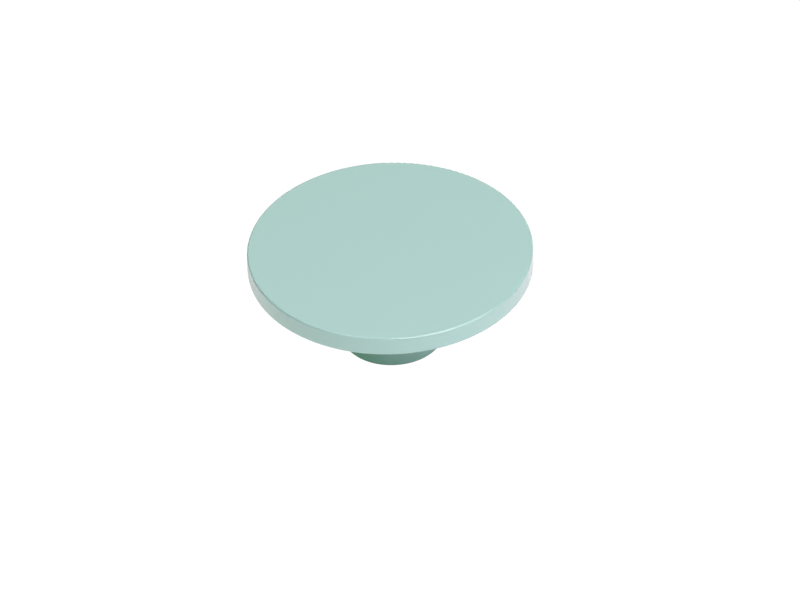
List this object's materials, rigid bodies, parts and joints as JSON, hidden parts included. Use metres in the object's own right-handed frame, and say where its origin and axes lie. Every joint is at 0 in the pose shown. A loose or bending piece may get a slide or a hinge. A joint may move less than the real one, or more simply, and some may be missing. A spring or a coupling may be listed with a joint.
{
  "type": "cabinet knob",
  "caption": "Round flat lacquered knob: a thin disc on a narrow cylindrical stem, with a tapped blind hole in its foot.",
  "frame": {"origin": "centre of the stem's flat foot, which seats on the cabinet front", "axes": "+Z along the stem's axis, from the cabinet front out to the face of the disc; X and Y are any pair across it, because the knob is round"},
  "size_m": [0.05, 0.05, 0.019],
  "materials": {
    "mint_lacquer": "satin",
    "bare_metal": "satin"
  },
  "bodies": {
    "root": {"knob": "mint_lacquer"}
  },
  "joints": []
}
